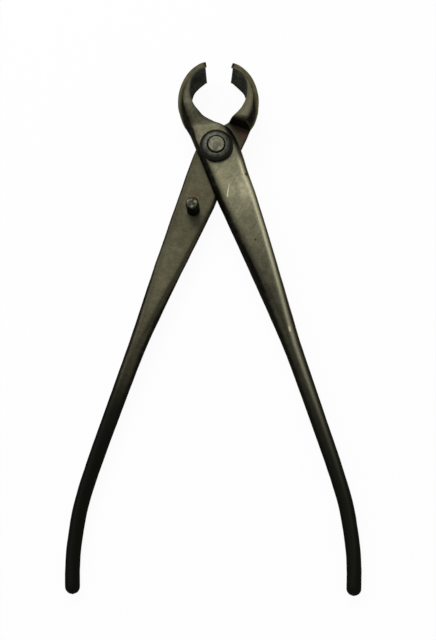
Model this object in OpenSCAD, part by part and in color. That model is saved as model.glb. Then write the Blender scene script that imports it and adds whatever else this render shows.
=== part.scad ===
// Knob cutter: two crossed steel levers with spoon-shaped jaws, which turn on one rivet.
// The origin is the middle of the rivet's flat back end. +Z runs along the rivet to the front side,
// and +Y runs along the line on which the jaws shut. All lengths are in millimetres.
//
// Each lever is drawn shut, in its own frame: the origin is on the rivet's axis, halfway between the
// two sides, and the jaw is on the left. The back lever is the same shape turned half a turn about Y.

/* [Opening] */
// Angle between the two levers as drawn, 0 with the jaws shut
opening = 17.1; // [0:0.1:60]
// How much further out than the mean the front handle stands, and how much further in the back one does
handle_turn = 1.47; // [0:0.01:2]

/* [Jaws] */
// Rivet axis to the cutting edge's highest point
jaw_reach = 35.05; // [34:0.05:37]
// Rivet axis line to the outside of one jaw
jaw_half_w = 12.3; // [12:0.05:13]
// Thickness of the two jaws along the rivet
jaw_t = 14.9; // [14:0.1:15.8]
// How square the jaw's round outside is: 1 is an ellipse, more is leaner
outer_power = 1.105; // [1:0.005:1.14]
// Height of the jaw's widest place above the rivet axis
outer_centre_y = 19; // [18:0.1:20]
// Height of the middle of the round mouth above the rivet axis
mouth_centre_y = 20.2; // [19.5:0.1:21]
// Half the width of the round mouth
mouth_half_w = 7.05; // [6.5:0.05:7.4]
// Middle of the mouth to the corners of the cutting edge
mouth_rise = 10.2; // [9.8:0.1:10.6]
// Bulge of the jaw's outside beyond its flat sides, at the cutting edge
bulge_tip = 4; // [3.5:0.1:4.2]
// The same bulge at the jaw's widest place
bulge_side = 2.1; // [1.5:0.1:2.4]
// Depth of the ground hollow inside the jaw, at the cutting edge
hollow_tip = 3.9; // [3.3:0.1:4]
// The same depth at the jaw's widest place
hollow_side = 1.8; // [1:0.1:2.2]

/* [Lap joint] */
// Thickness of one lever where they cross
plate_t = 5.1; // [4.6:0.05:5.4]
// Diameter of the rivet
rivet_d = 6.2; // [5:0.1:6.5]
// Length of the rivet over both peened ends
rivet_l = 16.1; // [15.9:0.1:17]
// Outside diameter of the domed washers
washer_d = 12.4; // [11.5:0.1:12.4]
// Height of the domed washers
washer_h = 2.25; // [1.8:0.05:2.3]

/* [Handles] */
// Heading of the straight part of a handle, outwards from the closing line
handle_heading = 11.07; // [10.5:0.01:11.5]
// Length of the straight part, from the first handle station to the start of the bend
straight_l = 107.5; // [100:0.5:115]
// Radius of the inward bend
bend_r = 113; // [100:1:140]
// Length round the bend to the handle's tip
bend_l = 46.6; // [40:0.1:52]
// Length of the tapering shank between the lap joint and the round rod
shank_l = 60; // [56:1:64]
// Width of a handle where it leaves the lap joint
shank_w = 14; // [13.4:0.1:14.4]
// Diameter of a handle at its tip
rod_d = 5.4; // [5:0.1:6]

/* [Stop pin] */
// Diameter of the pin
pin_d = 4.9; // [4:0.1:5]
// Height of the pin above the back lever's face
pin_h = 8.6; // [6:0.1:10]
// Lean of the pin away from the front lever
pin_lean = 2.5; // [0:0.5:10]

/* [Clearances] */
// Half the gap between the two levers' faces
lap_gap = 0.03; // [0.02:0.01:0.1]
// Gap between the front lever and the front washer
washer_gap = 0.04; // [0.02:0.01:0.1]
// Radial clearance of the front lever on the rivet
running_clearance = 0.05; // [0.02:0.01:0.1]
// Half the gap between the shut cutting edges
edge_gap = 0.03; // [0.02:0.01:0.1]

/* [Detail] */
// Cross-sections between two stations of a lever
steps = 3; // [2:1:4]
// Facets in a quarter of a cross-section
side_facets = 4; // [3:1:5]

/* [Hidden] */
$fn = 64;
jaw_half_t = jaw_t / 2;
// Height of the plane between the two levers
mid_z = rivet_l / 2;
// Rounding of the edges along the lap faces
edge_break = 0.3;
// Width that a rod's top and underside keep, so that no facet there has a zero edge
crest_w = 0.3;
pin_depth = 4;
pin_chamfer = 0.7;
// Place of the stop pin in the shut tool's frame
pin_at = [-4.2, -24.3];

steel_light = [0.47, 0.46, 0.38];
steel_dark = [0.33, 0.32, 0.26];
oxide = [0.17, 0.17, 0.17];

// Reaches of a mouth's rim that stands straight above the middle of the jaw's inside
flush = [0, 0, 0, 0, 0, 0];
// How each hand-forged lever differs from the mean of the two:
// [turn of the handle, shift of the shank outwards, added shank width,
//  shift of the jaw's root to the right, narrowing at the rivet, shift of the jaw outwards,
//  reach of the mouth's top rim and of its bottom rim into the mouth, from the cutting edge down]
front_traits = [handle_turn, 0.35, 0.45, 0.75, 0, 0, flush, [0.7, 1.2, 1.2, 0.7, 0.4, 0.2]];
back_traits = [-handle_turn, -0.5, 0, -0.6, -1.5, 0.35, [0.3, 0.85, 0.85, 0.2, 0, 0], flush];

// A station is one cross-section of a lever:
// [left x, left y, right x, right y, top, underside, left inset, right inset, left inset under,
//  right inset under, hollow, roundness].
// Left and right are the widest points, and the insets say how far the edges of the flat top and of the
// flat underside stand in from them. The jaw's inside is as deep as the hollow says halfway up.

// Station in the jaw, at an angle from 90 at the cutting edge to 0 at the widest place
function jaw_station(angle, spread, reach_top, reach_under) =
    let(bulge = bulge_side + (bulge_tip - bulge_side) * pow(sin(angle), 1.5)) [
    -(jaw_half_w + spread) * pow(cos(angle), outer_power),
    outer_centre_y + (jaw_reach - outer_centre_y) * pow(sin(angle), outer_power),
    -(mouth_half_w + spread) * cos(angle),
    mouth_centre_y + mouth_rise * sin(angle),
    jaw_half_t,
    lap_gap,
    bulge,
    -reach_top,
    bulge,
    -reach_under,
    hollow_side + (hollow_tip - hollow_side) * sin(angle),
    0
];

// Station at the jaw's root and the rivet, which each lever's own shift and narrowing move
function root_station(left, right, top, insets, shift, narrow, insets_under = [0, 0], hollow = 0) = [
    left[0] + shift,
    left[1],
    right[0] + narrow,
    right[1],
    top,
    lap_gap,
    insets[0],
    insets[1] + narrow / 2,
    insets_under[0],
    insets_under[1],
    hollow,
    0
];

// Point and heading of the handle's middle line, s along it from its first station
handle_start = [4.5, -19.5];
// How far the middle line bows outwards
handle_bow = 0.75;
function heading(s) = handle_heading - (s > straight_l ? (s - straight_l) / bend_r * 180 / PI : 0);
function along(a) = [sin(a), -cos(a)];
function across(a) = [cos(a), sin(a)];
function fade(s) = max(0, 1 - s / shank_l);
function bow(s) = s < straight_l ? handle_bow * sin(180 * s / straight_l) : 0;
function middle(s) = s <= straight_l
    ? handle_start + s * along(handle_heading)
    : middle(straight_l) + bend_r * (across(heading(s)) - across(handle_heading));
function turned(p, a) = [p[0] * cos(a) - p[1] * sin(a), p[0] * sin(a) + p[1] * cos(a)];

// Station in the handle. The width runs from 1, the shank's, to 0, the rod's, and the insets of the flat
// top and of the flat underside are [inner, outer]
function handle_station(s, width, top, under, insets, insets_under, roundness, traits) =
    let(own_w = rod_d + (shank_w - rod_d) * width)
    let(w = own_w + traits[2] * fade(s))
    let(c = middle(s) + across(heading(s)) * (bow(s) + traits[1] * fade(s)))
    let(left = turned(c - across(heading(s)) * w / 2, traits[0]))
    let(right = turned(c + across(heading(s)) * w / 2, traits[0]))
    [
        left[0], left[1], right[0], right[1], top, under,
        insets[0], insets[1], insets_under[0], insets_under[1], 0, roundness
    ];

// Station in a rod, whose crest is at a share of its width from the outer edge
function rod_station(s, d, crest, traits) =
    let(insets = [d * (1 - crest) - crest_w / 2, d * crest - crest_w / 2])
    handle_station(s, (d - rod_d) / (shank_w - rod_d), d / 2, -d / 2, insets, insets, 1, traits);

// Station in the rounded tip of the handle, at an angle from 0 to nearly 90
function tip_station(angle, traits) =
    rod_station(straight_l + bend_l - rod_d / 2 * (1 - sin(angle)), rod_d * cos(angle), 0.5, traits);

// Index of the station at which the jaw's full thickness ends in a wall
wall_index = 8;
// Index of the station from which the handle is a round rod
rod_index = 22;
// Height of the front side halfway down from the jaw to the plate
root_top = jaw_half_t - 0.6;
// Height of the front side above the wall
wall_top = plate_t + 0.6;
// Share of the next interval that the foot of the wall takes
wall_foot = 0.2;
// Most that the bevel along a shank's underside rises
bevel_rise = 1;

function stations(traits) =
    let(shift = traits[3])
    let(narrowing = traits[4])
    let(spread = traits[5])
    [
        for (i = [0:5]) jaw_station(90 - 18 * i, spread, traits[6][i], traits[7][i]),
        root_station(
            [-12.25 - spread, 16.3], [-6.3 - spread, 16.8], jaw_half_t, [2, 0],
            shift / 4, 0, [2, 0], 1.2
        ),
        root_station(
            [-11.75 - spread, 13.1], [-4.75 - spread, 14.3], root_top, [2.1, 0],
            shift / 3, 0, [2.1, 0.3], 0.6
        ),
        root_station([-11, 10.4], [-3, 12.5], wall_top, [2.2, 0.2], shift * 0.5, 0, [2.2, 0.9], 0.2),
        root_station(
            [-10.35, 8.4], [0.2, 10.5 + narrowing / 2], plate_t, [1.9, 0.4],
            shift * 0.75, 0, [1.9, 0.9]
        ),
        root_station([-9.8, 6.6], [3.2, 9.4 + narrowing / 3], plate_t, [1.5, 0.9], shift, 0),
        root_station([-9.25, 4.6], [5.9, 7.6], plate_t, [1.1, 1.5], shift, narrowing * 0.6),
        root_station([-8.6, 2.3], [7.4, 4.8], plate_t, [0.8, 1.6], shift, narrowing),
        root_station([-7.9, -0.2], [8.5, 1.7], plate_t, [1.1, 1.6], shift, narrowing),
        root_station([-6.7, -4.3], [9.7, -3.4], plate_t, [1.5, 1.5], shift, narrowing, [0.5, 0.6]),
        root_station([-4.6, -11.6], [10.85, -10.4], plate_t, [2, 1.5], shift * 0.6, narrowing, [0.8, 0.9]),
        handle_station(0, 1, plate_t, lap_gap, [2.3, 1.2], [1, 0.9], 0, traits),
        handle_station(shank_l / 6, 0.87, plate_t, lap_gap, [2.3, 1.2], [1.1, 0.9], 0, traits),
        handle_station(shank_l / 3, 0.72, plate_t - 0.05, -0.2, [2.4, 1.3], [1.3, 1], 0.1, traits),
        handle_station(shank_l / 2, 0.57, plate_t - 0.2, -1, [2.6, 1.5], [1.6, 1.2], 0.25, traits),
        handle_station(shank_l * 2 / 3, 0.42, plate_t - 0.5, -1.9, [2.9, 1.75], [2, 1.5], 0.5, traits),
        handle_station(shank_l * 5 / 6, 0.27, 4.1, -2.7, [3.3, 2], [2.6, 1.8], 0.8, traits),
        handle_station(shank_l, 0.15, 3.5, -3.15, [3.6, 2.1], [3.3, 2.1], 1, traits),
        handle_station(shank_l * 1.2, 0.095, 3.15, -3.05, [3.75, 2.1], [3.75, 2.1], 1, traits),
        rod_station((shank_l * 1.2 + straight_l) / 2, rod_d + 0.5, 0.35, traits),
        rod_station(straight_l, rod_d + 0.25, 0.36, traits),
        rod_station(straight_l + bend_l * 0.32, rod_d + 0.1, 0.38, traits),
        rod_station(straight_l + bend_l * 0.62, rod_d, 0.42, traits),
        rod_station(straight_l + bend_l * 0.79, rod_d, 0.46, traits),
        rod_station(straight_l + bend_l * 0.88, rod_d, 0.5, traits),
        for (angle = [0:27:81]) tip_station(angle, traits)
    ];

// Smooth curve through the stations: t counts them, and the first is mirrored about the shut edge
function station_at(list, i) = i < 0
    ? let(a = list[1]) concat([-a[0], a[1], -a[2], a[3]], [for (k = [4:11]) a[k]])
    : list[min(i, len(list) - 1)];
function smooth(list, t) =
    let(i = min(floor(t), len(list) - 2))
    let(f = t - i)
    let(a = station_at(list, i - 1))
    let(b = list[i])
    let(c = list[i + 1])
    let(d = station_at(list, i + 2))
    b + f * (c - a + f * (2 * a - 5 * b + 4 * c - d + f * (3 * (b - c) + d - a))) / 2;
function unit(v) = v / norm(v);
function direction(list, t, k) =
    let(e = 0.01)
    let(a = t < e ? [-smooth(list, e)[k], smooth(list, e)[k + 1]] : xy(smooth(list, t - e), k))
    unit(xy(smooth(list, min(t + e, len(list) - 1)), k) - a);
function xy(row, k) = [row[k], row[k + 1]];

// Inset of a side at a height from 0 at its widest to 1 at its edge
function side_inset(inset, height, roundness) =
    inset * (roundness * (1 - sqrt(1 - height * height)) + (1 - roundness) * height * height);

// One side of a cross-section, from the underside up: sign is -1 on the left and 1 on the right
function side(list, t, sign) =
    let(row = smooth(list, t))
    let(k = sign < 0 ? 0 : 2)
    let(edge = xy(row, k))
    let(d = direction(list, t, k))
    let(inward = t > rod_index ? unit(xy(row, 2 - k) - edge) : sign < 0 ? [-d[1], d[0]] : [d[1], -d[0]])
    let(jaw = t <= wall_index)
    let(inset_top = row[sign < 0 ? 6 : 7])
    let(inset_low = row[sign < 0 ? 8 : 9])
    let(inset_under = jaw ? inset_low : t < wall_index + 2 ? edge_break : max(edge_break, inset_low))
    let(under = jaw ? -jaw_half_t : row[5])
    let(rise = jaw ? jaw_half_t : max(min(inset_under, bevel_rise), -row[5]))
    let(belly = under + rise)
    let(hollow = sign < 0 ? 0 : row[10])
    [
        for (j = [-side_facets:side_facets])
            let(height = sin(90 * abs(j) / side_facets))
            let(inset = side_inset(j < 0 ? inset_under : inset_top, height, row[11]))
            let(p = edge + inward * (inset + hollow * (1 - height * height)))
            [p[0], p[1], belly + (j < 0 ? under - belly : row[4] - belly) * height]
    ];

// The solid lever, lofted through its cross-sections, with the cutting edge moved back by the edge gap
module lever_solid(traits) {
    list = stations(traits);
    last = len(list) - 1;
    places = [
        for (i = [0:last - 1])
            for (j = [0:steps - 1])
                if (i != wall_index || j > 0) i + j / steps
                else each [wall_index, wall_index + wall_foot],
        last
    ];
    n = 2 * side_facets + 1;
    ring = 2 * n;
    points = [
        for (t = places)
            let(left = side(list, t, -1))
            let(right = side(list, t, 1))
            each concat(left, [for (j = [n - 1:-1:0]) right[j]])
    ];
    walls = [
        for (i = [0:len(places) - 2])
            for (j = [0:ring - 1])
                let(a = i * ring + j)
                let(b = i * ring + (j + 1) % ring)
                each [[a, b, b + ring], [a, b + ring, a + ring]]
    ];
    // The end faces are strips between the left and the right side
    function strip(base, flip) = [
        for (j = [0:n - 2])
            let(a = base + j)
            let(b = base + j + 1)
            let(c = base + ring - 2 - j)
            let(d = base + ring - 1 - j)
            each flip ? [[a, c, b], [a, d, c]] : [[a, b, c], [a, c, d]]
    ];
    translate([-edge_gap, 0, 0])
        polyhedron(
            points,
            concat(walls, strip(0, true), strip((len(places) - 1) * ring, false)),
            convexity = 6
        );
}

// One lever in its own frame, with its rivet hole
module lever(traits, hole_d) {
    difference() {
        lever_solid(traits);
        translate([0, 0, -1]) cylinder(d = hole_d, h = plate_t + 2);
    }
}

// Places a lever in the tool, turned about the rivet from where it is shut
module on_rivet(angle) {
    translate([0, 0, mid_z]) rotate([0, 0, angle]) children();
}

module front_lever() {
    color(steel_light)
        on_rivet(opening / 2) lever(front_traits, rivet_d + 2 * running_clearance);
}

module back_lever() {
    color(steel_dark)
        on_rivet(-opening / 2)
            difference() {
                rotate([0, 180, 0]) lever(back_traits, rivet_d);
                pin_shape();
            }
}

// The rivet has flat ends with broken edges, left from peening
module pivot_rivet() {
    end_chamfer = 0.35;
    r = rivet_d / 2;
    color(steel_light)
        rotate_extrude()
            polygon([
                [0, 0],
                [r - end_chamfer, 0],
                [r, end_chamfer],
                [r, rivet_l - end_chamfer],
                [r - end_chamfer, rivet_l],
                [0, rivet_l]
            ]);
}

// Domed ring round the rivet, its flat side down at z = 0, with a groove next to the rivet
module washer() {
    r = washer_d / 2;
    rim_h = 0.7;
    crest_r = rivet_d / 2 + 0.5;
    groove_h = washer_h - 0.5;
    dome = [for (a = [0:15:90]) [crest_r + (r - crest_r) * cos(a), rim_h + (washer_h - rim_h) * sin(a)]];
    color(oxide)
        rotate_extrude()
            polygon(concat([[rivet_d / 2, 0], [r, 0]], dome, [[rivet_d / 2, groove_h]]));
}

module front_washer() {
    translate([0, 0, mid_z + plate_t + washer_gap]) washer();
}

module back_washer() {
    translate([0, 0, mid_z - plate_t]) rotate([180, 0, 0]) washer();
}

// The stop pin in the back lever's frame, leaning about its middle where it leaves the face
module pin_shape() {
    r = pin_d / 2;
    top = pin_h - lap_gap;
    translate([pin_at[0], pin_at[1], 0])
        rotate([0, -pin_lean, 0])
            rotate_extrude()
                polygon([
                    [0, -pin_depth],
                    [r, -pin_depth],
                    [r, top - pin_chamfer],
                    [r - pin_chamfer, top],
                    [0, top]
                ]);
}

module stop_pin() {
    color(oxide) on_rivet(-opening / 2) pin_shape();
}

front_lever();
back_lever();
pivot_rivet();
front_washer();
back_washer();
stop_pin();
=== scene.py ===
"""Looks of the knob cutter: two forged levers, their rivet, washers and stop pin, on a pale floor.

The levers are lofted through the same stations as the solids, with finer steps, rounded edges and
forging marks. Lengths are in millimetres, and MM turns them into Blender's metres.
"""

import math
from collections import namedtuple
from functools import reduce

import bmesh
import bpy
import numpy as np
from mathutils import Matrix, Vector, noise


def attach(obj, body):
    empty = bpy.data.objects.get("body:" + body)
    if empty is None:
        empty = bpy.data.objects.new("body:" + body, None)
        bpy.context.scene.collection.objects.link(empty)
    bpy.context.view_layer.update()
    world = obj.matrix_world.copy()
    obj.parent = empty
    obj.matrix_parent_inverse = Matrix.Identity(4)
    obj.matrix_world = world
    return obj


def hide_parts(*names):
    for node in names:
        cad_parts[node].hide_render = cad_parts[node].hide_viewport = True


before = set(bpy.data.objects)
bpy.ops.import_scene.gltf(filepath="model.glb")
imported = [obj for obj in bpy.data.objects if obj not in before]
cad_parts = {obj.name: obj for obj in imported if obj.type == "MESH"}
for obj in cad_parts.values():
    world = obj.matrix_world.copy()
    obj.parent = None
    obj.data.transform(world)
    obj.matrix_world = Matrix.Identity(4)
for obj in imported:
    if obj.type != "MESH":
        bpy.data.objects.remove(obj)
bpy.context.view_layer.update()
MM = 0.001

# Driving dimensions of the tool, as in the solids. Angles are in degrees.
OPENING = 17.1
HANDLE_TURN = 1.47
JAW_REACH = 35.05
JAW_HALF_W = 12.3
JAW_HALF_T = 7.45
OUTER_POWER = 1.105
OUTER_CENTRE_Y = 19
MOUTH_CENTRE_Y = 20.2
MOUTH_HALF_W = 7.05
MOUTH_RISE = 10.2
BULGE_TIP, BULGE_SIDE = 4, 2.1
HOLLOW_TIP, HOLLOW_SIDE = 3.9, 1.8
PLATE_T = 5.1
RIVET_R = 3.1
RIVET_L = 16.1
WASHER_R = 6.2
WASHER_H = 2.25
HANDLE_START = np.array([4.5, -19.5])
HANDLE_HEADING = 11.07
HANDLE_BOW = 0.75
SHANK_L = 60
SHANK_W = 14
STRAIGHT_L = 107.5
BEND_R = 113
BEND_L = 46.6
ROD_D = 5.4
CREST_W = 0.3
PIN_AT = (-4.2, -24.3)
PIN_R = 2.45
PIN_H = 8.57
PIN_LEAN = 2.5
PIN_DEPTH = 4.0
LAP_GAP = 0.03
WASHER_GAP = 0.04
EDGE_GAP = 0.03
RUNNING_CLEARANCE = 0.05
EDGE_BREAK = 0.3
BEVEL_RISE = 1
MID_Z = RIVET_L / 2
ROOT_TOP = JAW_HALF_T - 0.6
WALL_TOP = PLATE_T + 0.6

# How each hand-forged lever differs from the mean of the two
Traits = namedtuple(
    "Traits", "turn shank_out wider root_right narrowing spread reach_top reach_under soft_top soft_under"
)
FLUSH = (0, 0, 0, 0, 0, 0)
FRONT_TRAITS = Traits(
    HANDLE_TURN, 0.35, 0.45, 0.75, 0, 0, FLUSH, (0.7, 1.2, 1.2, 0.7, 0.4, 0.2), soft_top=1, soft_under=0.2
)
BACK_TRAITS = Traits(
    -HANDLE_TURN, -0.5, 0, -0.6, -1.5, 0.35, (0.3, 0.85, 0.85, 0.2, 0, 0), FLUSH, soft_top=0.2, soft_under=1
)

# A station is one cross-section of a lever, seen as if it were the front one: these are its columns
LEFT, RIGHT = slice(0, 2), slice(2, 4)
TOP, UNDER, INSET_LEFT, INSET_RIGHT, UNDER_LEFT, UNDER_RIGHT, HOLLOW, ROUNDNESS = range(4, 12)
# What turns a station into its mirror image about the closing line
MIRRORED = np.array([-1, 1, -1] + [1] * 9)

# Places along a lever are counted in stations. The jaw's curve takes up the first JAW_STEPS, its full
# thickness ends at WALL_INDEX in a wall, whose foot is WALL_FOOT further on, and the handle is a round
# rod from ROD_INDEX on. The round tip has a station at each of TIP_ANGLES.
JAW_STEPS = 5
WALL_INDEX = 8
WALL_FOOT = 0.2
ROD_INDEX = 22
TIP_ANGLES = (0, 27, 54, 81)

# Radius of the rounded rim over the wall, how far before the wall its cross-sections begin, and their number
RIM_R = 1.6
RIM_SPAN = 0.42
RIM_N = 9

# Parts of a cross-section: the jaw's outside and the handle's inner side, the top, the jaw's hollow and
# the handle's outer side, and the underside
LEFT_SIDE, TOP_FACE, RIGHT_SIDE, UNDER_FACE = range(4)
# Points in half a side as it is drawn and as it is kept, in a rounded corner, and inside a flat face
CURVE_N = 25
HALF_SIDE_N = 11
CORNER_N = 5
FLAT_N = 12
RINGS_PER_STATION = 7

# Radius of the rounded edges at places along a lever. The jaw's inner rim adds its share of wear.
LEFT_EDGE_R = ([0, 5, 9, 16, 22, 24], [0.4, 0.8, 0.7, 0.8, 0.5, 0.1])
RIGHT_EDGE_R = ([9, 12, 16, 22, 24], [0.5, 0.7, 0.9, 0.5, 0.1])
LEAST_RIM_R = 0.15
RIM_WEAR = ([0, 1, 2, 3, 4, 5, 8, 9], [0.05, 0.3, 0.9, 1.1, 0.8, 0.4, 0.4, 0])

# Depth of the forging marks on the sides, and their size
FORGING_DEPTH, FORGING_SIZE = 0.06, 5

# Half the width of the band along a handle's outer top edge, which carries wear and a painted highlight, and
# by the mouth a painted shadow
RIDGE_W = 0.72
# Width over which a flat face darkens towards its edges, painted shade of its rounded edges
SHADE_W = 1.6
# Strength of the lever's masks at places along it
# The jaw's outside band: partly its own olive tone, partly painted light by height, leaving a dark strip by
# its edges
OUTSIDE_REACH = ([0.2, 0.6, 2, 4, 6, 8, 9.5], [0.8, 3, 2.8, 2.3, 1.5, 0.6, 0])
# Painted shade on the lap face at the foot of the step wall
BY_WALL = ([7.1, 7.9, 8.2, 8.8, 10.2], [0, 0.5, 1, 0.75, 0])
# Painted shadow along the plate's outer edge by the mouth
EDGE_SHADOW_SPAN = ([10.2, 11, 12.8, 13.6], [0, 1, 1, 0])
# Wear and painted highlight along the outer ridge
RIDGE_HIGHLIGHT_SPAN = ([13.7, 14.7], [0, 1])
# Painted light on the upper half of the handle's outer flank
OUTER_FLANK = ([13, 15], [0, 1])

# Ends of the tool along Y, where every list of (y, value) stops in a finish begins and ends
Y_LOW, Y_HIGH = -170, 40

# Colours of the levers' sides, of worn and bare steel, and of rust, and those that paint light and shade
OXIDE = (0.0045, 0.0045, 0.0036)
# Worn oxide, also used as painted shade
OXIDE_WEAR_AND_SHADE = (0.020, 0.018, 0.011)
# Outside band of the jaw, its own tone with painted light on it
OUTSIDE = (0.150, 0.142, 0.094)
OUTSIDE_DARK = (0.076, 0.071, 0.045)
# Painted light on the outer flank
OUTER = (0.052, 0.048, 0.026)
CAVITY = (0.065, 0.068, 0.060)
CAVITY_DARK = (0.030, 0.031, 0.026)
# Painted shade of the step wall, which faces away from the light, and of its foot
WALL_SHADE = (0.024, 0.022, 0.014)
# Lighter tone of the jaw, part of the painted light along Y
JAW_LIGHT_TONE = (0.122, 0.115, 0.074)
# Bright worn steel, also used for painted highlights
BRIGHT = (0.42, 0.40, 0.27)
BARE = (0.80, 0.75, 0.50)
RUST = (0.060, 0.022, 0.014)

# Colours and grain of the ground faces. fade is how much of their tone is left along Y: painted light
# that darkens towards the handles' ends, where the ground faces also end, and above 1 the lighter tone
# of the jaw comes in, painted light as well. crest is how bright the wear and the painted highlight on
# the outer ridge are along Y.
Finish = namedtuple("Finish", "light dark warm grain_angle fade crest")
FRONT_FINISH = Finish(
    light=(0.175, 0.167, 0.106), dark=(0.088, 0.083, 0.051), warm=(0.130, 0.110, 0.060), grain_angle=62,
    fade=[(-170, 0), (-125, 0.01), (-90, 0.1), (-70, 0.26), (-59, 0.32), (-36, 0.55), (-22, 0.9), (-12, 1),
          (-3, 0.88), (9, 0.68), (14, 0.6), (19, 0.46), (33, 0.42), (40, 0.42)],
    crest=[(-170, 0), (-150, 0.01), (-125, 0.03), (-111, 0.08), (-100, 0.16), (-89, 0.28), (-70, 0.5),
           (-55, 0.65), (-36, 0.95), (-20, 1), (-8, 0.95), (-3, 0.35), (5, 0), (40, 0)],
)
BACK_FINISH = Finish(
    light=(0.074, 0.070, 0.043), dark=(0.040, 0.037, 0.021), warm=(0.060, 0.050, 0.026), grain_angle=-15,
    fade=[(-170, 0), (-125, 0), (-103, 0.06), (-89, 0.5), (-75, 0.85), (-60, 0.8), (-20, 1), (8, 1),
          (12, 1.2), (16, 1.35), (33, 1.3), (40, 1.3)],
    crest=[(-170, 0), (40, 0)],
)

# Places of single marks at rest
SCRATCH = ((5.2, -14.4, 13.1), (4.7, -19.4, 13.1))
SCRATCH_MIDDLE = (4.95, -16.6, 13.1)
NICK = (11.4, -10.5, 12.7)
HIGHLIGHT_PATCH = (10.6, -15.5, 13.1)
FLECK = ((28.8, -68.0, 12.3), (29.1, -69.3, 12.2))
FLECK_TAIL = (28.5, -66.5, 12.4)
DARK_SPECK = (15.5, -35.7, 13.1)
LIGHT_SPECK = (12.8, -40.7, 13.1)
RUST_AND_SHADE_BY_WALL = (9.8, 6.1, 8.0)
RUST_BY_PIN = (-7.2, -17.2, 8.0)
# Painted highlights on the top of the stop pin, where light catches its rim, each a place and a radius
PIN_SPOTS = [((-10.15, -22.65, 16.2), 1.1), ((-7.0, -22.8, 16.6), 0.9), ((-8.2, -24.7, 16.6), 1.0)]


def cos(degrees):
    return math.cos(math.radians(degrees))


def sin(degrees):
    return math.sin(math.radians(degrees))


def jaw_station(i, traits):
    """Station in the jaw, from 0 at the cutting edge to JAW_STEPS at the widest place."""
    angle = 90 - 90 / JAW_STEPS * i
    up = max(0.0, sin(angle))
    out = max(0.0, cos(angle))
    bulge = BULGE_SIDE + (BULGE_TIP - BULGE_SIDE) * up**1.5
    return [
        -(JAW_HALF_W + traits.spread) * out**OUTER_POWER,
        OUTER_CENTRE_Y + (JAW_REACH - OUTER_CENTRE_Y) * up**OUTER_POWER,
        -(MOUTH_HALF_W + traits.spread) * out,
        MOUTH_CENTRE_Y + MOUTH_RISE * up,
        JAW_HALF_T,
        LAP_GAP,
        bulge,
        -traits.reach_top[i],
        bulge,
        -traits.reach_under[i],
        HOLLOW_SIDE + (HOLLOW_TIP - HOLLOW_SIDE) * up,
        0,
    ]


def root_station(left, right, top, insets, shift, narrow, insets_under=(0, 0), hollow=0):
    """Station at the jaw's root and the rivet, moved by the lever's own shift and narrowing."""
    return [
        left[0] + shift, left[1], right[0] + narrow, right[1],
        top, LAP_GAP, insets[0], insets[1] + narrow / 2, *insets_under, hollow, 0,
    ]


def heading(s):
    """Direction of the handle, s along it."""
    bent = max(0, s - STRAIGHT_L)
    return HANDLE_HEADING - math.degrees(bent / BEND_R)


def across(angle):
    return np.array([cos(angle), sin(angle)])


def middle(s):
    """Point of the handle's middle line, s along it from its first station."""
    straight = min(s, STRAIGHT_L)
    p = HANDLE_START + straight * np.array([sin(HANDLE_HEADING), -cos(HANDLE_HEADING)])
    return p if s <= STRAIGHT_L else p + BEND_R * (across(heading(s)) - across(HANDLE_HEADING))


def turned(p, angle):
    return [p[0] * cos(angle) - p[1] * sin(angle), p[0] * sin(angle) + p[1] * cos(angle)]


def handle_station(s, width, top, under, insets, insets_under, roundness, traits):
    """Station in the handle, its width from 1, the shank's, to 0, the rod's; insets are (inner, outer)."""
    fade = max(0, 1 - s / SHANK_L)
    bow = HANDLE_BOW * sin(180 * s / STRAIGHT_L) if s < STRAIGHT_L else 0
    outward = across(heading(s))
    c = middle(s) + outward * (bow + traits.shank_out * fade)
    half = outward * (ROD_D + (SHANK_W - ROD_D) * width + traits.wider * fade) / 2
    return [*turned(c - half, traits.turn), *turned(c + half, traits.turn),
            top, under, *insets, *insets_under, 0, roundness]


def rod_station(s, d, crest, traits):
    """Station in a rod, whose crest is at a share of its width from the outer edge."""
    insets = (d * (1 - crest) - CREST_W / 2, d * crest - CREST_W / 2)
    return handle_station(s, (d - ROD_D) / (SHANK_W - ROD_D), d / 2, -d / 2, insets, insets, 1, traits)


def tip_station(angle, traits):
    """Station in the round tip, from 0 where it begins towards 90 degrees at its end."""
    s = STRAIGHT_L + BEND_L - ROD_D / 2 * (1 - sin(angle))
    return rod_station(s, ROD_D * cos(angle), 0.5, traits)


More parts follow.
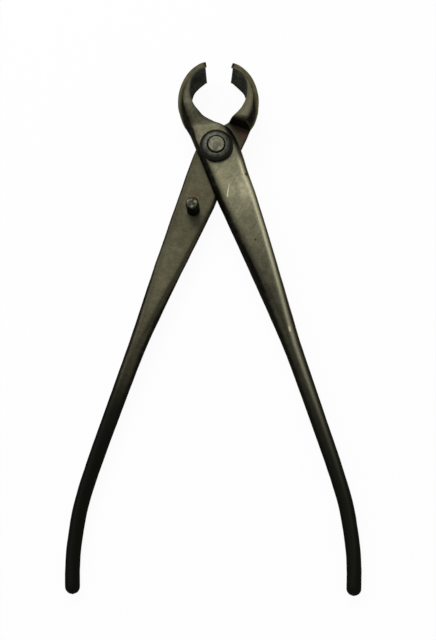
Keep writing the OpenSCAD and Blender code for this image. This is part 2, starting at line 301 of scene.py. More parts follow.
def stations(traits):
    """All stations of a lever, from the cutting edge to the end of its handle."""
    shift, narrow, spread = traits.root_right, traits.narrowing, traits.spread
    rows = [jaw_station(i, traits) for i in range(JAW_STEPS + 1)]
    rows += [
        root_station(
            [-12.25 - spread, 16.3], [-6.3 - spread, 16.8], JAW_HALF_T, (2, 0),
            shift / 4, 0, (2, 0), 1.2,
        ),
        root_station(
            [-11.75 - spread, 13.1], [-4.75 - spread, 14.3], ROOT_TOP, (2.1, 0),
            shift / 3, 0, (2.1, 0.3), 0.6,
        ),
        root_station([-11, 10.4], [-3, 12.5], WALL_TOP, (2.2, 0.2), shift * 0.5, 0, (2.2, 0.9), 0.2),
        root_station(
            [-10.35, 8.4], [0.2, 10.5 + narrow / 2], PLATE_T, (1.9, 0.4),
            shift * 0.75, 0, (1.9, 0.9),
        ),
        root_station([-9.8, 6.6], [3.2, 9.4 + narrow / 3], PLATE_T, (1.5, 0.9), shift, 0),
        root_station([-9.25, 4.6], [5.9, 7.6], PLATE_T, (1.1, 1.5), shift, narrow * 0.6),
        root_station([-8.6, 2.3], [7.4, 4.8], PLATE_T, (0.8, 1.6), shift, narrow),
        root_station([-7.9, -0.2], [8.5, 1.7], PLATE_T, (1.1, 1.6), shift, narrow),
        root_station([-6.7, -4.3], [9.7, -3.4], PLATE_T, (1.5, 1.5), shift, narrow, (0.5, 0.6)),
        root_station([-4.6, -11.6], [10.85, -10.4], PLATE_T, (2, 1.5), shift * 0.6, narrow, (0.8, 0.9)),
        handle_station(0, 1, PLATE_T, LAP_GAP, (2.3, 1.2), (1, 0.9), 0, traits),
        handle_station(SHANK_L / 6, 0.87, PLATE_T, LAP_GAP, (2.3, 1.2), (1.1, 0.9), 0, traits),
        handle_station(SHANK_L / 3, 0.72, PLATE_T - 0.05, -0.2, (2.4, 1.3), (1.3, 1), 0.1, traits),
        handle_station(SHANK_L / 2, 0.57, PLATE_T - 0.2, -1, (2.6, 1.5), (1.6, 1.2), 0.25, traits),
        handle_station(SHANK_L * 2 / 3, 0.42, PLATE_T - 0.5, -1.9, (2.9, 1.75), (2, 1.5), 0.5, traits),
        handle_station(SHANK_L * 5 / 6, 0.27, 4.1, -2.7, (3.3, 2), (2.6, 1.8), 0.8, traits),
        handle_station(SHANK_L, 0.15, 3.5, -3.15, (3.6, 2.1), (3.3, 2.1), 1, traits),
        handle_station(SHANK_L * 1.2, 0.095, 3.15, -3.05, (3.75, 2.1), (3.75, 2.1), 1, traits),
        rod_station((SHANK_L * 1.2 + STRAIGHT_L) / 2, ROD_D + 0.5, 0.35, traits),
        rod_station(STRAIGHT_L, ROD_D + 0.25, 0.36, traits),
        rod_station(STRAIGHT_L + BEND_L * 0.32, ROD_D + 0.1, 0.38, traits),
        rod_station(STRAIGHT_L + BEND_L * 0.62, ROD_D, 0.42, traits),
        rod_station(STRAIGHT_L + BEND_L * 0.79, ROD_D, 0.46, traits),
        rod_station(STRAIGHT_L + BEND_L * 0.88, ROD_D, 0.5, traits),
    ]
    rows += [tip_station(angle, traits) for angle in TIP_ANGLES]
    return np.array(rows, float)


def smooth(rows, t):
    """Catmull-Rom curve through the stations, which go on mirrored beyond the shut edge."""
    i = min(int(t), len(rows) - 2)
    f = t - i
    before = rows[i - 1] if i else rows[1] * MIRRORED
    b, c = rows[i], rows[i + 1]
    after = rows[min(i + 2, len(rows) - 1)]
    bend = 2 * before - 5 * b + 4 * c - after + f * (3 * (b - c) + after - before)
    return b + f * (c - before + f * bend) / 2


def direction(rows, t, k):
    """Unit vector along the edge in columns k."""
    step = 0.01
    if t < step:
        a = smooth(rows, step)[k] * MIRRORED[k]
    else:
        a = smooth(rows, t - step)[k]
    v = smooth(rows, min(t + step, len(rows) - 1))[k] - a
    return v / np.linalg.norm(v)


def reach_along(points):
    """Distance along a polyline at each of its points."""
    return np.concatenate([[0], np.cumsum(np.linalg.norm(np.diff(points, axis=0), axis=1))])


def resampled(points, n):
    """n points at even steps along a polyline."""
    reach = reach_along(points)
    at = np.linspace(0, reach[-1], n)
    return np.stack([np.interp(at, reach, points[:, k]) for k in (0, 1)], axis=1)


def half_side(inset, hollow, belly, end, roundness, radius):
    """Half a side, from its widest point to past its rounded corner, as (inset, height) points."""
    height = np.sin(np.linspace(0, math.pi / 2, CURVE_N))
    curve = inset * (roundness * (1 - np.sqrt(np.maximum(0, 1 - height**2))) + (1 - roundness) * height**2)
    points = np.stack([curve + hollow * (1 - height**2), belly + (end - belly) * height], axis=1)
    reach = reach_along(points)
    # The rounding takes up 0.6 of the curve at most
    cut = max(reach[-1] - radius, reach[-1] * 0.4)
    start = np.array([np.interp(cut, reach, points[:, k]) for k in (0, 1)])
    body = resampled(np.vstack([points[reach < cut], start]), HALF_SIDE_N)
    corner = points[-1]
    finish = corner + np.array([radius, 0])
    f = np.linspace(0, 1, CORNER_N + 1)[1:, None]
    return np.vstack([body, (1 - f) ** 2 * start + 2 * f * (1 - f) * corner + f**2 * finish])


def corner_radius(t, right, soft):
    """Rounding of the edges of the ground faces; soft is how far a jaw's inner rim is worn."""
    if not right:
        return np.interp(t, *LEFT_EDGE_R)
    if t >= WALL_INDEX + 1:
        return np.interp(t, *RIGHT_EDGE_R)
    return LEAST_RIM_R + soft * np.interp(t, *RIM_WEAR)


def side(rows, t, row, right, traits):
    """One side of a cross-section, from the underside up, and each point's height from -1 to 1."""
    here, opposite = (RIGHT, LEFT) if right else (LEFT, RIGHT)
    edge = row[here]
    if t > ROD_INDEX:
        inward = row[opposite] - edge
        inward = inward / np.linalg.norm(inward)
    else:
        d = direction(rows, t, here)
        inward = np.array([d[1], -d[0]] if right else [-d[1], d[0]])
    inset_top = row[INSET_RIGHT if right else INSET_LEFT]
    inset_under = row[UNDER_RIGHT if right else UNDER_LEFT]
    hollow = row[HOLLOW] if right else 0
    in_jaw = t <= WALL_INDEX
    if in_jaw:
        to_wall = np.linalg.norm(smooth(rows, WALL_INDEX)[LEFT] - row[LEFT])
        rim = max(0, RIM_R - to_wall)
        under = -JAW_HALF_T + RIM_R - math.sqrt(RIM_R**2 - rim**2)
        belly = 0
    else:
        inset_under = EDGE_BREAK if t < WALL_INDEX + 2 else max(EDGE_BREAK, inset_under)
        under = row[UNDER]
        belly = under + max(min(inset_under, BEVEL_RISE), -under)
    most = np.linalg.norm(row[LEFT] - row[RIGHT]) / 2 - CREST_W / 2
    flat_half = max(0.02, most - max(inset_top, inset_under))
    radius = min(corner_radius(t, right, traits.soft_top), flat_half)
    radius_under = min(corner_radius(t, right, traits.soft_under), flat_half)
    if not in_jaw:
        # Edges of the underside are nearly sharp where their bevel is small
        radius_under = min(radius_under, 0.12 + inset_under / 4)
    upper = half_side(inset_top, hollow, belly, row[TOP], row[ROUNDNESS], radius)
    lower = half_side(inset_under, hollow, belly, under, row[ROUNDNESS], radius_under)
    profile = np.vstack([lower[::-1], upper[1:]])
    points = np.array([[*(edge + inward * u), z] for u, z in profile])
    height = np.concatenate([
        -(belly - lower[::-1, 1]) / (belly - under),
        (upper[1:, 1] - belly) / (row[TOP] - belly),
    ])
    return points, height


def cross_section(rows, t, traits):
    """Closed ring of points at place t, and four numbers for each of them.

    These are its height in the side, from -1 to 1, the part it lies in, how near it is to the outer
    top edge, and how near to any edge of the flat faces, both from 0 to 1.
    """
    row = smooth(rows, t)
    left, left_height = side(rows, t, row, False, traits)
    right, right_height = side(rows, t, row, True, traits)
    spread = (1 - np.cos(np.linspace(0, math.pi, FLAT_N + 2)[1:-1])) / 2
    top = left[-1] + spread[:, None] * (right[-1] - left[-1])
    bottom = right[0] + spread[:, None] * (left[0] - right[0])
    flat = np.ones(FLAT_N)
    ring = np.vstack([left, top, right[::-1], bottom])
    height = np.concatenate([left_height, flat, right_height[::-1], -flat])
    part = np.concatenate([
        np.full(len(points), which)
        for which, points in ((LEFT_SIDE, left), (TOP_FACE, top), (RIGHT_SIDE, right), (UNDER_FACE, bottom))
    ])
    ridge = np.exp(-np.sum(((ring - right[-2]) / RIDGE_W) ** 2, axis=1))
    edges = [left[-3], left[2], right[-3], right[2]]
    apart = np.min([np.linalg.norm(ring - e, axis=1) for e in edges], axis=0)
    return ring, height, part, ridge, np.clip(1 - apart / SHADE_W, 0, 1)


def ring_places(last):
    """Where the cross-sections are, counted in stations, closer together at the rim over the wall."""
    even = [i / RINGS_PER_STATION for i in range(last * RINGS_PER_STATION + 1)]
    kept = [t for t in even if not WALL_INDEX - RIM_SPAN - 0.03 < t < WALL_INDEX + WALL_FOOT]
    rim = [WALL_INDEX - RIM_SPAN * (1 - f) ** 2 for f in np.linspace(0, 1, RIM_N)]
    return sorted(kept + rim + [WALL_INDEX + WALL_FOOT])


def lever_masks(t, z, height, part, ridge, shade):
    """What the lever's material reads at each point, from 0 to 1; z is above the lap."""
    at_wall = (t > WALL_INDEX - 0.12) & (t < WALL_INDEX + 0.3) & (z < 0.5)
    return {
        "side": np.clip((1 - np.abs(height)) / 0.06, 0, 1),
        "cavity": (part == RIGHT_SIDE) & (t <= WALL_INDEX),
        "outside": (part == LEFT_SIDE) * np.clip(np.interp(t, *OUTSIDE_REACH) - 2 * np.abs(height), 0, 1),
        "wall": at_wall,
        "by_wall": (part == UNDER_FACE) * np.interp(t, *BY_WALL),
        "ridge": ridge * np.interp(t, *RIDGE_HIGHLIGHT_SPAN),
        "shade": shade,
        "edge_shadow": ridge * np.interp(t, *EDGE_SHADOW_SPAN),
        "outer": ((part == RIGHT_SIDE) & (height > 0)) * np.interp(t, *OUTER_FLANK),
    }


def forging_marks(p):
    """How far a point of a forged surface moves along its normal, nearly always inwards."""
    v = Vector(p) / FORGING_SIZE
    return FORGING_DEPTH * (noise.noise(v) - 0.6 + 0.5 * noise.noise(v * 2.7))


def lever_mesh(name, traits, placing):
    """Mesh of one lever, placed in the tool, with the masks that its material reads."""
    rows = stations(traits)
    places = ring_places(len(rows) - 1)
    sections = [cross_section(rows, t, traits) for t in places]
    points, *numbers = (np.concatenate(column) for column in zip(*sections))
    points = points - np.array([EDGE_GAP, 0, 0])
    n = len(sections[0][0])
    faces = []
    for i in range(len(places) - 1):
        for j in range(n):
            a, b = i * n + j, i * n + (j + 1) % n
            faces.append((a, b, b + n, a + n))
    end = (len(places) - 1) * n
    faces.append(tuple(range(n - 1, -1, -1)))
    faces.append(tuple(range(end, end + n)))
    mesh = bpy.data.meshes.new(name)
    mesh.from_pydata([tuple(p) for p in points], [], faces)
    for key, values in lever_masks(np.repeat(places, n), points[:, 2], *numbers).items():
        mesh.attributes.new(key, "FLOAT", "POINT").data.foreach_set("value", values.astype(np.float32))
    bm = bmesh.new()
    bm.from_mesh(mesh)
    bmesh.ops.recalc_face_normals(bm, faces=bm.faces)
    bm.normal_update()
    layer = bm.verts.layers.float["side"]
    for v in bm.verts:
        v.co += v.normal * forging_marks(v.co) * v[layer]
    bm.to_mesh(mesh)
    bm.free()
    mesh.transform(placing)
    return mesh


def bored(obj, radius):
    """Cuts the rivet hole."""
    bpy.ops.mesh.primitive_cylinder_add(vertices=96, radius=radius * MM, depth=2 * RIVET_L * MM)
    drill = bpy.context.object
    cut = obj.modifiers.new("bore", "BOOLEAN")
    cut.operation = "DIFFERENCE"
    cut.solver = "EXACT"
    cut.object = drill
    bpy.context.view_layer.update()
    mesh = bpy.data.meshes.new_from_object(obj.evaluated_get(bpy.context.evaluated_depsgraph_get()))
    obj.modifiers.clear()
    obj.data = mesh
    bpy.data.objects.remove(drill)


def piece(name, mesh, body, node, material):
    """Puts a finished mesh in the scene in place of its solid."""
    obj = bpy.data.objects.new(name, mesh)
    bpy.context.scene.collection.objects.link(obj)
    mesh.materials.clear()
    mesh.materials.append(material)
    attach(obj, body)
    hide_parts(node)
    return obj


def finish_shading(mesh, angle=40):
    """Smooth shading with sharp edges above an angle."""
    mesh.polygons.foreach_set("use_smooth", [True] * len(mesh.polygons))
    mesh.set_sharp_from_angle(angle=math.radians(angle))


def on_rivet(angle, flip=False):
    """Places a shut lever, in millimetres in its own frame, in the tool in metres."""
    m = Matrix.Scale(MM, 4) @ Matrix.Translation((0, 0, MID_Z)) @ Matrix.Rotation(math.radians(angle), 4, "Z")
    return m @ Matrix.Rotation(math.pi, 4, "Y") if flip else m


def revolved(name, profile, segments=128, placing=None, dents=0.0):
    """Mesh turned about Z from a profile of (radius, height) points, placed, in metres."""
    bm = bmesh.new()
    rings = []
    for r, z in profile:
        if r < 1e-6:
            rings.append([bm.verts.new((0, 0, z))])
            continue
        rings.append([
            bm.verts.new((r * math.cos(a), r * math.sin(a), z))
            for a in (2 * math.pi * k / segments for k in range(segments))
        ])
    for low, high in zip(rings, rings[1:] + rings[:1]):
        for k in range(segments):
            m = (k + 1) % segments
            corners = [low[k % len(low)], low[m % len(low)], high[m % len(high)], high[k % len(high)]]
            distinct = list(dict.fromkeys(corners))
            if len(distinct) > 2:
                bm.faces.new(distinct)
    bmesh.ops.recalc_face_normals(bm, faces=bm.faces)
    bm.normal_update()
    for v in bm.verts:
        v.co -= v.normal * dents * max(0, noise.noise(v.co * 1.3) + 0.3 * noise.noise(v.co * 3.1))
    bm.transform(Matrix.Scale(MM, 4) @ (placing or Matrix.Identity(4)))
    mesh = bpy.data.meshes.new(name)
    bm.to_mesh(mesh)
    bm.free()
    return mesh


def arc(centre, radius_r, radius_z, start, end, n):
    """Points of an elliptic arc in a profile, angles from the +r direction."""
    return [
        (centre[0] + radius_r * cos(a), centre[1] + radius_z * sin(a))
        for a in np.linspace(start, end, n)
    ]


def rivet_mesh():
    broken = 0.35
    steps = np.linspace(0, RIVET_R - broken, 9)
    back = [(r, 0.0) for r in steps]
    front = [(r, RIVET_L) for r in steps[::-1]]
    turn_back = arc((RIVET_R - broken, broken), broken, broken, -80, 0, 5)
    turn_front = arc((RIVET_R - broken, RIVET_L - broken), broken, broken, 0, 80, 5)
    mesh = revolved("rivet_pin", back + turn_back + turn_front + front, dents=0.05)
    finish_shading(mesh, 60)
    return mesh


def washer_mesh(name, placing):
    """Domed ring with a rounded lip that dips towards the rivet."""
    foot_break = 0.1
    rim_h = 0.7
    crest_r = RIVET_R + 0.5
    lip_r = 0.4
    foot = [(RIVET_R, 0.0), (WASHER_R - foot_break, 0.0), (WASHER_R, foot_break)]
    dome = arc((crest_r, rim_h), WASHER_R - crest_r, WASHER_H - rim_h, 0, 90, 20)
    lip = arc((crest_r, WASHER_H - lip_r), lip_r, lip_r, 90, 180, 8)
    bore = [(RIVET_R, WASHER_H - 0.6)]
    mesh = revolved(name, foot + dome + lip[1:] + bore, placing=placing, dents=0.03)
    finish_shading(mesh, 50)
    return mesh


def pin_mesh():
    """Leaning stop pin, from the bottom of its hole to its broken top."""
    broken = 0.7
    steps = np.linspace(0, PIN_R - broken, 7)
    profile = [(r, -PIN_DEPTH) for r in steps] + [(PIN_R, -PIN_DEPTH)]
    profile += [(PIN_R, z) for z in np.linspace(-PIN_DEPTH / 2, PIN_H - broken - 0.2, 8)]
    profile += arc((PIN_R - broken, PIN_H - broken), broken, broken, 10, 80, 5)
    profile += [(r, PIN_H) for r in steps[::-1]]
    placing = (
        Matrix.Translation((0, 0, MID_Z))
        @ Matrix.Rotation(math.radians(-OPENING / 2), 4, "Z")
        @ Matrix.Translation((*PIN_AT, 0))
        @ Matrix.Rotation(math.radians(-PIN_LEAN), 4, "Y")
    )
    mesh = revolved("stop_pin_stud", profile, segments=64, placing=placing, dents=0.12)
    finish_shading(mesh, 50)
    return mesh


def feed(tree, socket, value):
    """Links a socket to another one, or sets its number."""
    if isinstance(value, bpy.types.NodeSocket):
        tree.links.new(value, socket)
    else:
        socket.default_value = value


def math_node(tree, operation, a, b, clamp=False):
    n = tree.nodes.new("ShaderNodeMath")
    n.operation = operation
    n.use_clamp = clamp
    feed(tree, n.inputs[0], a)
    feed(tree, n.inputs[1], b)
    return n.outputs[0]


class Graph:
    """Short names for the nodes of one material."""

    def __init__(self, name):
        self.material = bpy.data.materials.new(name)
        self.material.use_nodes = True
        self.tree = self.material.node_tree
        self.shader = self.tree.nodes["Principled BSDF"]
        self.shader.inputs["Specular Tint"].default_value = (0.42, 0.40, 0.30, 1)
        self.coordinates = self.node("ShaderNodeTexCoord")
        self.position = self.coordinates.outputs["Object"]

    def node(self, kind, **settings):
        n = self.tree.nodes.new(kind)
        for key, value in settings.items():
            setattr(n, key, value)
        return n

    def feed(self, socket, value):
        feed(self.tree, socket, value)

    def math(self, operation, a, b=0.0, clamp=False):
        return math_node(self.tree, operation, a, b, clamp)

    def add(self, *values):
        return reduce(lambda a, b: self.math("ADD", a, b), values)

    def times(self, *values):
        return reduce(lambda a, b: self.math("MULTIPLY", a, b), values)

    def total(self, *terms):
        """Sum of values, each given with its weight."""
        return self.add(*(self.math("MULTIPLY", value, weight) for value, weight in terms))

    def step(self, value, start, end):
        """0 up to start and 1 from end on, smooth between them."""
        n = self.node("ShaderNodeMapRange", interpolation_type="SMOOTHSTEP")
        self.feed(n.inputs["Value"], value)
        n.inputs["From Min"].default_value = start
        n.inputs["From Max"].default_value = end
        return n.outputs["Result"]

    def between(self, value, low, high):
        """Value from 0 to 1 turned into one from low to high."""
        n = self.node("ShaderNodeMapRange")
        self.feed(n.inputs["Value"], value)
        n.inputs["To Min"].default_value = low
        n.inputs["To Max"].default_value = high
        return n.outputs["Result"]

    def mix(self, share, a, b, most=1):
        """Colour a with a share of b, which is most where share is 1."""
        n = self.node("ShaderNodeMix", data_type="RGBA")
        self.feed(n.inputs[0], share if most == 1 else self.times(share, most))
        self.feed(n.inputs[6], (*a, 1) if isinstance(a, tuple) else a)
        self.feed(n.inputs[7], (*b, 1) if isinstance(b, tuple) else b)
        return n.outputs[2]

    def facing(self):
        """How squarely the surface faces along the rivet, from 0 to 1."""
        split = self.node("ShaderNodeSeparateXYZ")
        self.feed(split.inputs[0], self.coordinates.outputs["Normal"])
        return self.math("ABSOLUTE", split.outputs["Z"])

    def along_y(self, stops):
        """Value along the tool, from (y, value) pairs in rising order from Y_LOW to Y_HIGH."""
        split = self.node("ShaderNodeSeparateXYZ")
        self.feed(split.inputs[0], self.position)
        place = self.node("ShaderNodeMapRange")
        self.feed(place.inputs["Value"], split.outputs["Y"])
        place.inputs["From Min"].default_value = Y_LOW * MM
        place.inputs["From Max"].default_value = Y_HIGH * MM
        ramp = self.node("ShaderNodeFloatCurve")
        self.feed(ramp.inputs["Value"], place.outputs["Result"])
        curve = ramp.mapping.curves[0]
        spots = [((y - Y_LOW) / (Y_HIGH - Y_LOW), value) for y, value in stops]
        curve.points[0].location = spots[0]
        curve.points[1].location = spots[-1]
        for spot in spots[1:-1]:
            curve.points.new(*spot)
        for point in curve.points:
            point.handle_type = "AUTO_CLAMPED"
        ramp.mapping.update()
        return ramp.outputs["Value"]

    def mask(self, name):
        return self.node("ShaderNodeAttribute", attribute_name=name).outputs["Fac"]

    def noise_at(self, vector, scale, detail, roughness):
        n = self.node("ShaderNodeTexNoise")
        self.feed(n.inputs["Vector"], vector)
        n.inputs["Scale"].default_value = scale
        n.inputs["Detail"].default_value = detail
        n.inputs["Roughness"].default_value = roughness
        return n.outputs["Fac"]

    def noise(self, size, detail=3.0, roughness=0.5):
        """Noise whose lumps are about size across."""
        return self.noise_at(self.position, 1 / (size * MM), detail, roughness)

    def grain(self, angle, length, width, detail=2.0):
        """Noise drawn out along a direction in the XY plane, as grinding leaves it."""
        n = self.node("ShaderNodeMapping", vector_type="TEXTURE")
        self.feed(n.inputs["Vector"], self.position)
        n.inputs["Rotation"].default_value = (0, 0, math.radians(angle))
        n.inputs["Scale"].default_value = (length * MM, width * MM, length * MM)
        return self.noise_at(n.outputs[0], 1, detail, 0.6)

    def near(self, point, radius):
        """1 at a point, fading to 0 at radius from it."""
        n = self.node("ShaderNodeVectorMath", operation="DISTANCE")
        self.feed(n.inputs[0], self.position)
        n.inputs[1].default_value = [c * MM for c in point]
        return self.step(n.outputs["Value"], radius * MM, 0)

    def stroke(self, a, b, width):
        """1 on the line between two points, fading to 0 at width from it."""
        start, run = Vector(a) * MM, (Vector(b) - Vector(a)) * MM
        offset = self.node("ShaderNodeVectorMath", operation="SUBTRACT")
        self.feed(offset.inputs[0], self.position)
        offset.inputs[1].default_value = start
        dot = self.node("ShaderNodeVectorMath", operation="DOT_PRODUCT")
        self.feed(dot.inputs[0], offset.outputs[0])
        dot.inputs[1].default_value = run / run.length_squared
        share = self.math("MULTIPLY", dot.outputs["Value"], 1, clamp=True)
        along = self.node("ShaderNodeVectorMath", operation="SCALE")
        along.inputs[0].default_value = run
        self.feed(along.inputs["Scale"], share)
        apart = self.node("ShaderNodeVectorMath", operation="DISTANCE")
        self.feed(apart.inputs[0], offset.outputs[0])
        self.feed(apart.inputs[1], along.outputs[0])
        return self.step(apart.outputs["Value"], width * MM, 0)

    def bump(self, height, depth, under=None):
        """Surface relief, depth deep where height goes from 0 to 1."""
        n = self.node("ShaderNodeBump")
        n.inputs["Strength"].default_value = 1
        n.inputs["Distance"].default_value = depth * MM
        self.feed(n.inputs["Height"], height)
        if under is not None:
            self.feed(n.inputs["Normal"], under)
        return n.outputs[0]

    def result(self, color, roughness, metallic, normal):
        self.feed(self.shader.inputs["Base Color"], color)
        self.feed(self.shader.inputs["Roughness"], roughness)
        self.feed(self.shader.inputs["Metallic"], metallic)
        self.feed(self.shader.inputs["Normal"], normal)
        return self.material


def lever_material(name, finish, add_marks):
    """Blackened forging with ground flat faces. add_marks(graph, color) adds the lever's own marks."""
    g = Graph(name)
    blotches = g.noise(9, 4)
    mottle = g.noise(2.2, 5, 0.6)
    specks = g.noise(0.55, 4, 0.65)
    coarse = g.grain(finish.grain_angle, 7, 0.7)
    fine = g.grain(finish.grain_angle, 3, 0.16, 3)
    # Painted light along Y, darker towards the handles' ends
    fade = g.along_y(finish.fade)

    tone = g.total((blotches, 0.4), (mottle, 0.35), (coarse, 0.2), (fine, 0.32), (specks, 0.45))
    ground = g.mix(g.step(tone, 0.695, 1.055), finish.dark, finish.light)
    ground = g.mix(g.step(blotches, 0.5, 0.75), ground, finish.warm, most=0.5)
    # Lighter towards the back lever's jaws, part of the painted light along Y
    ground = g.mix(g.math("SUBTRACT", fade, 1, clamp=True), ground, JAW_LIGHT_TONE)
    # Painted shade towards the edges of the flat faces
    ground = g.mix(g.mask("shade"), ground, OXIDE_WEAR_AND_SHADE, most=0.6)
    # Painted shadow along the plate's outer edge by the mouth
    ground = g.mix(g.mask("edge_shadow"), ground, OXIDE)
    # Painted shade at the foot of the step wall
    ground = g.mix(g.mask("by_wall"), ground, WALL_SHADE)

    forged = g.mix(g.times(g.step(mottle, 0.4, 0.75), fade), OXIDE, OXIDE_WEAR_AND_SHADE)
    # Outside band of the jaw: its own tone, with painted light at mid-height and painted shade by its edges
    outside = g.total((mottle, 0.55), (coarse, 0.3), (specks, 0.15))
    forged = g.mix(g.mask("outside"), forged, g.mix(g.step(outside, 0.36, 0.64), OUTSIDE_DARK, OUTSIDE))
    # Painted light on the upper outer flank, fading along Y
    forged = g.mix(g.times(g.mask("outer"), fade), forged, OUTER)
    forged = g.mix(g.mask("cavity"), forged, g.mix(g.step(mottle, 0.35, 0.7), CAVITY_DARK, CAVITY))

    # Ground faces, with painted light and shade by facing: surfaces turned from the rivet's axis take the
    # dark forged colour, and a rod's crest gets a light stripe
    ragged = g.add(g.facing(), g.times(mottle, 0.15))
    ground_and_facing_light = g.times(g.step(ragged, 0.695, 1.045), g.math("SUBTRACT", 1, g.mask("wall")), fade)
    color = g.mix(ground_and_facing_light, forged, ground)
    broken = g.between(g.step(specks, 0.35, 0.65), 0.75, 1)
    # Wear and painted highlight along the handle's outer top edge
    color = g.mix(g.times(g.mask("ridge"), g.along_y(finish.crest), broken), color, BRIGHT)
    # Painted shade on the step wall
    color = g.mix(g.mask("wall"), color, WALL_SHADE)
    color = add_marks(g, color)

    roughness = g.add(g.between(fine, -0.1, 0.1), g.between(ground_and_facing_light, 0.46, 0.42))
    roughness = g.add(roughness, g.between(specks, -0.08, 0.08))
    metallic = g.between(ground_and_facing_light, 0.9, 0.85)
    relief = g.bump(g.times(fine, ground_and_facing_light), 0.012)
    relief = g.bump(g.times(specks, g.math("SUBTRACT", 1, ground_and_facing_light)), 0.04, relief)
    return g.result(color, roughness, metallic, relief)


def front_marks(g, color):
    """Painted highlight patch with some wear, scratch, specks, bright fleck and nick of the front lever."""
    # Painted highlight, partly wear, widening the ridge's highlight near the plate's outer edge
    highlight = g.times(g.near(HIGHLIGHT_PATCH, 7), g.step(g.noise(2.5, 4), 0.3, 0.65))
    color = g.mix(highlight, color, BRIGHT, most=0.4)
    color = g.mix(g.stroke(*SCRATCH, 0.22), color, BRIGHT, most=0.7)
    color = g.mix(g.stroke(SCRATCH_MIDDLE, SCRATCH[1], 0.34), color, BRIGHT, most=0.8)
    color = g.mix(g.near(LIGHT_SPECK, 0.5), color, BRIGHT, most=0.7)
    color = g.mix(g.stroke(FLECK_TAIL, FLECK[0], 0.5), color, BARE, most=0.4)
    color = g.mix(g.stroke(*FLECK, 0.7), color, BARE)
    color = g.mix(g.near(DARK_SPECK, 0.6), color, OXIDE)
    return g.mix(g.near(NICK, 1.1), color, OXIDE)


def back_marks(g, color):
    """Painted shade beside the back lever's step wall, and two reddish spots."""
    # Painted shade on the lap face below the step wall
    color = g.mix(g.near(RUST_AND_SHADE_BY_WALL, 8), color, OXIDE_WEAR_AND_SHADE, most=0.75)
    tint = g.times(g.near(RUST_AND_SHADE_BY_WALL, 5), g.step(g.noise(3), 0.35, 0.65))
    color = g.mix(tint, color, RUST, most=0.4)
    return g.mix(g.near(RUST_BY_PIN, 3), color, RUST, most=0.4)


def turned_material(name, shaded_side_color, dark, light, speck_size, level, highlight_spots=()):
    """Satin metal of the small pieces: sides in painted shade, and a top with specks from dark to light.

    level is the range of facing over which the sides' painted shade turns into the top's colour.
    """
    g = Graph(name)
    mottle = g.noise(1.4, 4, 0.6)
    specks = g.noise(speck_size, 4, 0.7)
    top = g.mix(g.step(g.total((mottle, 0.6), (specks, 0.4)), 0.38, 0.66), dark, light)
    color = g.mix(g.step(g.facing(), *level), shaded_side_color, top)
    # Painted highlights on the pin's top
    for spot, radius in highlight_spots:
        highlight = g.times(g.near(spot, radius), g.step(specks, 0.35, 0.6))
        color = g.mix(highlight, color, BRIGHT, most=0.38)
    return g.result(color, g.add(g.between(specks, -0.1, 0.1), 0.42), 0.85, g.bump(specks, 0.03))


def seen_white(tree, surface, share, in_mirrors):
    """Rays from the camera, mirrors and glass see a share of white in place of the surface.

    The white is 1 for the camera and in_mirrors for the others.
    """
    rays = tree.nodes.new("ShaderNodeLightPath").outputs
    is_world = surface.node.type == "BACKGROUND"
    white = tree.nodes.new("ShaderNodeBackground" if is_world else "ShaderNodeEmission")
    white.inputs["Color"].default_value = (1, 1, 1, 1)
    feed(tree, white.inputs["Strength"], math_node(tree, "MAXIMUM", rays["Is Camera Ray"], in_mirrors))
    seen = math_node(tree, "MAXIMUM", rays["Is Camera Ray"], rays["Is Glossy Ray"])
    seen = math_node(tree, "MAXIMUM", seen, rays["Is Transmission Ray"])
    mix = tree.nodes.new("ShaderNodeMixShader")
    feed(tree, mix.inputs[0], math_node(tree, "MULTIPLY", seen, share))
    feed(tree, mix.inputs[1], surface)
    feed(tree, mix.inputs[2], white.outputs[0])
    output = next(n for n in tree.nodes if n.type in ("OUTPUT_MATERIAL", "OUTPUT_WORLD"))
    feed(tree, output.inputs["Surface"], mix.outputs[0])


def lamp(name, place, size, power):
    """Square soft lamp, aimed at the tool, placed and sized in metres."""
    data = bpy.data.lights.new(name, "AREA")
    data.size = size
    data.energy = power
    obj = bpy.data.objects.new(name, data)
    bpy.context.scene.collection.objects.link(obj)
    obj.location = place
    aim = Vector((0, -0.05, 0)) - Vector(place)
    obj.rotation_euler = aim.to_track_quat("-Z", "Y").to_euler()


def floor_and_light():
    """Pale floor through the tool's real contact points, a white surround and soft lamps."""
    rod_bottom_z, rod_end_y = MID_Z - ROD_D / 2, -165.0
    slope = rod_bottom_z / -rod_end_y
    bpy.ops.mesh.primitive_plane_add(size=6)
    floor = bpy.context.object
    floor.name = "floor"
    floor.rotation_euler = (-math.atan(slope), 0, 0)
    floor.location = (0, 0, -RIVET_R * slope * MM)
    g = Graph("pale_floor")
    g.shader.inputs["Base Color"].default_value = (0.86, 0.86, 0.86, 1)
    g.shader.inputs["Roughness"].default_value = 0.7
    seen_white(g.tree, g.shader.outputs[0], share=0.95, in_mirrors=1)
    floor.data.materials.append(g.material)

    world = bpy.data.worlds.new("studio")
    bpy.context.scene.world = world
    world.use_nodes = True
    background = world.node_tree.nodes["Background"]
    background.inputs["Color"].default_value = (0.45, 0.455, 0.46, 1)
    seen_white(world.node_tree, background.outputs[0], share=1, in_mirrors=0.8)

    lamp("key", (-0.20, 0.55, 0.75), 0.5, 5.0)
    lamp("fill", (-0.6, 0.2, 0.6), 0.5, 1.5)


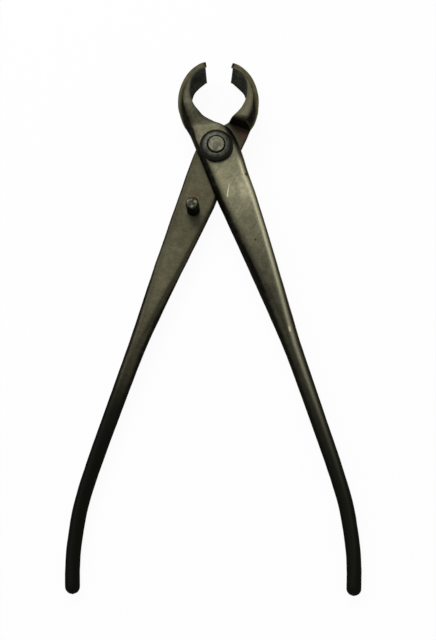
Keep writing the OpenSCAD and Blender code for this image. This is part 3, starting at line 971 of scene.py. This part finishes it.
def camera():
    """The photograph's viewpoint: almost straight down, tilted towards the jaws."""
    data = bpy.data.cameras.new("camera")
    data.sensor_fit = "VERTICAL"
    data.sensor_height = 36
    data.lens = 111.33
    data.clip_start = 0.01
    obj = bpy.data.objects.new("camera", data)
    bpy.context.scene.collection.objects.link(obj)
    obj.location = Vector((8.41, -240.59, 711.51)) * MM
    obj.rotation_euler = (math.radians(14), 0, math.radians(1.85))
    bpy.context.scene.camera = obj


camera()
floor_and_light()
bpy.context.scene.view_settings.view_transform = "Standard"

rivet_material = turned_material(
    "rivet_steel", shaded_side_color=(0.030, 0.030, 0.022), dark=(0.038, 0.038, 0.028),
    light=(0.135, 0.132, 0.092), speck_size=0.6, level=(0.85, 0.98),
)
washer_material = turned_material(
    "washer_oxide", shaded_side_color=(0.012, 0.012, 0.009), dark=(0.024, 0.026, 0.021),
    light=(0.062, 0.064, 0.048), speck_size=0.5, level=(0.9, 0.99),
)
pin_material = turned_material(
    "pin_oxide", shaded_side_color=(0.005, 0.005, 0.0035), dark=(0.010, 0.010, 0.007),
    light=(0.065, 0.063, 0.042), speck_size=0.8, level=(0.8, 0.97), highlight_spots=PIN_SPOTS,
)

front = piece(
    "front_lever_forging",
    lever_mesh("front_lever_forging", FRONT_TRAITS, on_rivet(OPENING / 2)),
    "front_body", "front_lever",
    lever_material("front_lever_steel", FRONT_FINISH, front_marks),
)
back = piece(
    "back_lever_forging",
    lever_mesh("back_lever_forging", BACK_TRAITS, on_rivet(-OPENING / 2, flip=True)),
    "back_body", "back_lever",
    lever_material("back_lever_steel", BACK_FINISH, back_marks),
)
bored(front, RIVET_R + RUNNING_CLEARANCE)
bored(back, RIVET_R)
for lever in (front, back):
    finish_shading(lever.data)

piece("rivet_pin", rivet_mesh(), "back_body", "pivot_rivet", rivet_material)
piece(
    "front_washer_dome",
    washer_mesh("front_washer_dome", Matrix.Translation((0, 0, MID_Z + PLATE_T + WASHER_GAP))),
    "back_body", "front_washer", washer_material,
)
piece(
    "back_washer_dome",
    washer_mesh(
        "back_washer_dome",
        Matrix.Translation((0, 0, MID_Z - PLATE_T)) @ Matrix.Rotation(math.pi, 4, "X"),
    ),
    "back_body", "back_washer", washer_material,
)
piece("stop_pin_stud", pin_mesh(), "back_body", "stop_pin", pin_material)
